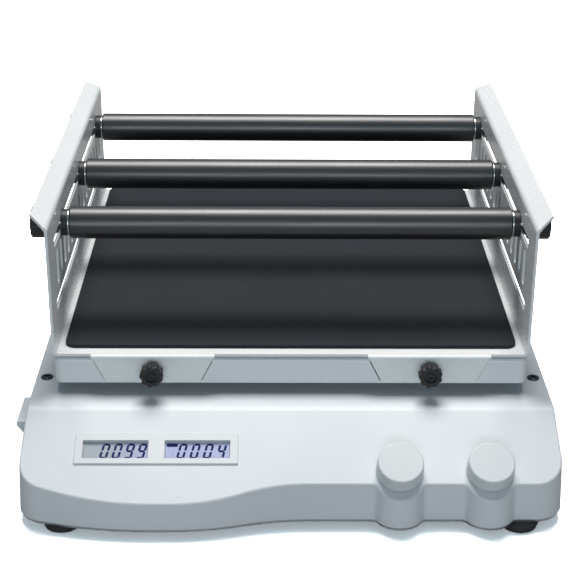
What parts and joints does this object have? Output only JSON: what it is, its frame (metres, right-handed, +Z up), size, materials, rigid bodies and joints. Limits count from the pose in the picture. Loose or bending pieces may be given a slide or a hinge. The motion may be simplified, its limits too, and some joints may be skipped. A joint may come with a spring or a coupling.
{
  "type": "laboratory linear shaker",
  "caption": "Benchtop linear shaker: sloped control housing, sliding tray and a folded slotted carrier with rubber-covered clamping bars over a mat.",
  "frame": {"origin": "on the floor, in the middle of the footprint; the platform's centre is 43 mm behind it", "axes": "+Z up; the front with the panel faces -Y; the platform shakes along X"},
  "size_m": [0.3757, 0.4222, 0.1966],
  "materials": {
    "housing_plastic": "satin moulded plastic, pale grey",
    "zinc_steel": "zinc plated sheet",
    "rubber_black": "matt black rubber",
    "screw_steel": "plated screw",
    "black_plastic": "fine satin black plastic",
    "bezel_plastic": "satin pale grey plastic",
    "window_clear": "clear tinted acrylic",
    "lcd_glass": "grey-green liquid crystal glass",
    "circuit_board": "green solder mask",
    "knob_plastic": "satin pale grey plastic",
    "switch_plastic": "gloss black plastic",
    "ground_steel": "ground and hardened",
    "cast_aluminium": "machined aluminium",
    "painted_tray": "light grey powder coat",
    "painted_carrier": "light grey powder coat",
    "mat_rubber": "matt grey-black mat",
    "sleeve_rubber": "smooth black rubber tube",
    "belt_rubber": "black timing belt",
    "motor_black": "black enamel",
    "power_case": "folded aluminium case"
  },
  "bodies": {
    "base": {"upper_housing": "housing_plastic", "base_plate": "zinc_steel", "rubber_feet": "rubber_black", "base_screws": "screw_steel", "deck_plugs": "black_plastic", "display_bezel": "bezel_plastic", "display_panes": "window_clear", "lcd_modules": "lcd_glass", "control_board": "circuit_board", "encoder_bodies": "black_plastic", "switch_body": "switch_plastic", "power_inlet": "black_plastic", "power_supply": "power_case", "guide_rods": "ground_steel", "rod_supports": "cast_aluminium", "drive_plate": "cast_aluminium", "plate_standoffs": "screw_steel", "drive_bearing": "ground_steel", "motor": "motor_black", "drive_belt": "belt_rubber"},
    "platform": {"bearing_blocks": "cast_aluminium", "linear_bearings": "ground_steel", "carriage_plate": "cast_aluminium", "platform_posts": "cast_aluminium", "post_screws": "screw_steel", "yoke": "cast_aluminium", "platform_tray": "painted_tray", "weld_nuts": "screw_steel", "slotted_carrier": "painted_carrier", "rubber_mat": "mat_rubber"},
    "eccentric": {"eccentric_shaft": "ground_steel", "crank_disc": "zinc_steel", "counterweight": "zinc_steel", "crank_pin": "ground_steel", "crank_roller": "ground_steel", "eccentric_pulley": "cast_aluminium"},
    "motor_rotor": {"motor_shaft": "ground_steel", "motor_pulley": "cast_aluminium"},
    "speed_push": {"speed_shaft": "ground_steel"},
    "speed_turn": {"speed_knob": "knob_plastic"},
    "timer_push": {"timer_shaft": "ground_steel"},
    "timer_turn": {"timer_knob": "knob_plastic"},
    "power_switch": {"power_rocker": "switch_plastic"},
    "left_clamp_screw": {"left_thumbscrew": "black_plastic"},
    "right_clamp_screw": {"right_thumbscrew": "black_plastic"},
    "front_bar": {"front_bar_core": "ground_steel", "front_bar_sleeve": "sleeve_rubber", "front_bar_collars": "black_plastic"},
    "front_left_grip": {"front_left_knob": "black_plastic"},
    "front_right_grip": {"front_right_knob": "black_plastic"},
    "middle_bar": {"middle_bar_core": "ground_steel", "middle_bar_sleeve": "sleeve_rubber", "middle_bar_collars": "black_plastic"},
    "middle_left_grip": {"middle_left_knob": "black_plastic"},
    "middle_right_grip": {"middle_right_knob": "black_plastic"},
    "rear_bar": {"rear_bar_core": "ground_steel", "rear_bar_sleeve": "sleeve_rubber", "rear_bar_collars": "black_plastic"},
    "rear_left_grip": {"rear_left_knob": "black_plastic"},
    "rear_right_grip": {"rear_right_knob": "black_plastic"}
  },
  "joints": [
    {"name": "platform_slide", "type": "slide", "parent": "base", "child": "platform", "axis": [1, 0, 0], "range_m": [-0.005, 0.005]},
    {"name": "eccentric_spin", "type": "hinge", "parent": "base", "child": "eccentric", "pos_m": [0, 0.043, 0.03], "axis": [0, 0, 1], "range_deg": [-90.1, 90.1]},
    {"name": "motor_spin", "type": "hinge", "parent": "base", "child": "motor_rotor", "pos_m": [0, -0.097, 0.03], "axis": [0, 0, 1], "range_deg": [-270.3, 270.3]},
    {"name": "speed_press", "type": "slide", "parent": "base", "child": "speed_push", "axis": [0, 0.4924, -0.8704], "range_m": [0, 0.001], "stiffness_N_per_m": 400},
    {"name": "speed_turn", "type": "hinge", "parent": "speed_push", "child": "speed_turn", "pos_m": [0.0727, -0.1873, 0.03994], "axis": [0, -0.4924, 0.8704], "continuous": true},
    {"name": "timer_press", "type": "slide", "parent": "base", "child": "timer_push", "axis": [0, 0.4924, -0.8704], "range_m": [0, 0.001], "stiffness_N_per_m": 400},
    {"name": "timer_turn", "type": "hinge", "parent": "timer_push", "child": "timer_turn", "pos_m": [0.1335, -0.1873, 0.03994], "axis": [0, -0.4924, 0.8704], "continuous": true},
    {"name": "power_rock", "type": "hinge", "parent": "base", "child": "power_switch", "pos_m": [-0.1816, -0.127, 0.0325], "axis": [0, 0, 1], "range_deg": [-14, 0]},
    {"name": "front_bar_slide", "type": "slide", "parent": "platform", "child": "front_bar", "axis": [0, 1, 0], "range_m": [-0.0354, 0.037]},
    {"name": "front_left_knob_turn", "type": "hinge", "parent": "front_bar", "child": "front_left_grip", "pos_m": [-0.1745, -0.0586, 0.168], "axis": [1, 0, 0], "continuous": true},
    {"name": "front_right_knob_turn", "type": "hinge", "parent": "front_bar", "child": "front_right_grip", "pos_m": [0.1745, -0.0586, 0.168], "axis": [1, 0, 0], "continuous": true},
    {"name": "middle_bar_slide", "type": "slide", "parent": "platform", "child": "middle_bar", "axis": [0, 1, 0], "range_m": [-0.037, 0.044]},
    {"name": "middle_left_knob_turn", "type": "hinge", "parent": "middle_bar", "child": "middle_left_grip", "pos_m": [-0.1745, 0.0442, 0.168], "axis": [1, 0, 0], "continuous": true},
    {"name": "middle_right_knob_turn", "type": "hinge", "parent": "middle_bar", "child": "middle_right_grip", "pos_m": [0.1745, 0.0442, 0.168], "axis": [1, 0, 0], "continuous": true},
    {"name": "rear_bar_slide", "type": "slide", "parent": "platform", "child": "rear_bar", "axis": [0, 1, 0], "range_m": [-0.0438, 0.0193]},
    {"name": "rear_left_knob_turn", "type": "hinge", "parent": "rear_bar", "child": "rear_left_grip", "pos_m": [-0.1745, 0.1607, 0.168], "axis": [1, 0, 0], "continuous": true},
    {"name": "rear_right_knob_turn", "type": "hinge", "parent": "rear_bar", "child": "rear_right_grip", "pos_m": [0.1745, 0.1607, 0.168], "axis": [1, 0, 0], "continuous": true},
    {"name": "left_thumbscrew_turn", "type": "hinge", "parent": "platform", "child": "left_clamp_screw", "pos_m": [-0.0965, -0.13, 0.0848], "axis": [0, 1, 0], "continuous": true},
    {"name": "right_thumbscrew_turn", "type": "hinge", "parent": "platform", "child": "right_clamp_screw", "pos_m": [0.0965, -0.13, 0.0848], "axis": [0, 1, 0], "continuous": true}
  ],
  "couplings": [
    {"joint": "eccentric_spin", "follows": "platform_slide", "rad_per_m": -314.16},
    {"joint": "motor_spin", "follows": "platform_slide", "rad_per_m": -942.48}
  ]
}
